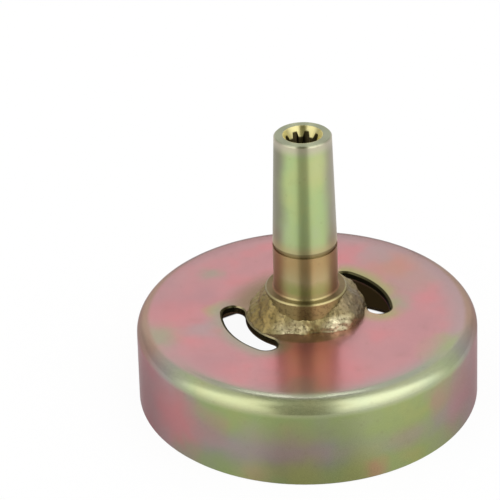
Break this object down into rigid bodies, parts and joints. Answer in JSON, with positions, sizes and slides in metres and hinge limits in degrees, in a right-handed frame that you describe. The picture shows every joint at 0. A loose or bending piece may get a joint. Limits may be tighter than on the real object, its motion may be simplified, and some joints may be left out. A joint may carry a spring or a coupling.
{
  "type": "brush cutter clutch drum",
  "caption": "Drawn steel clutch drum with a welded, internally splined shaft: centrifugal clutch shoes grip its inner wall and turn the drive shaft of a brush cutter.",
  "frame": {"origin": "centre of the open rim's plane, on the shaft's axis", "axes": "+Z along the shaft towards its splined tip, X through the middles of the two windows"},
  "size_m": [0.081, 0.081, 0.067],
  "materials": {
    "cup_plating": "drawn sheet steel, zinc plated and yellow passivated, satin with pink and green tints",
    "shaft_plating": "turned steel, zinc plated and yellow passivated, satin with fine turning marks",
    "weld_plating": "rough weld metal under the same plating"
  },
  "bodies": {
    "root": {"drum_cup": "cup_plating", "splined_shaft": "shaft_plating", "weld_bead": "weld_plating"}
  },
  "joints": []
}
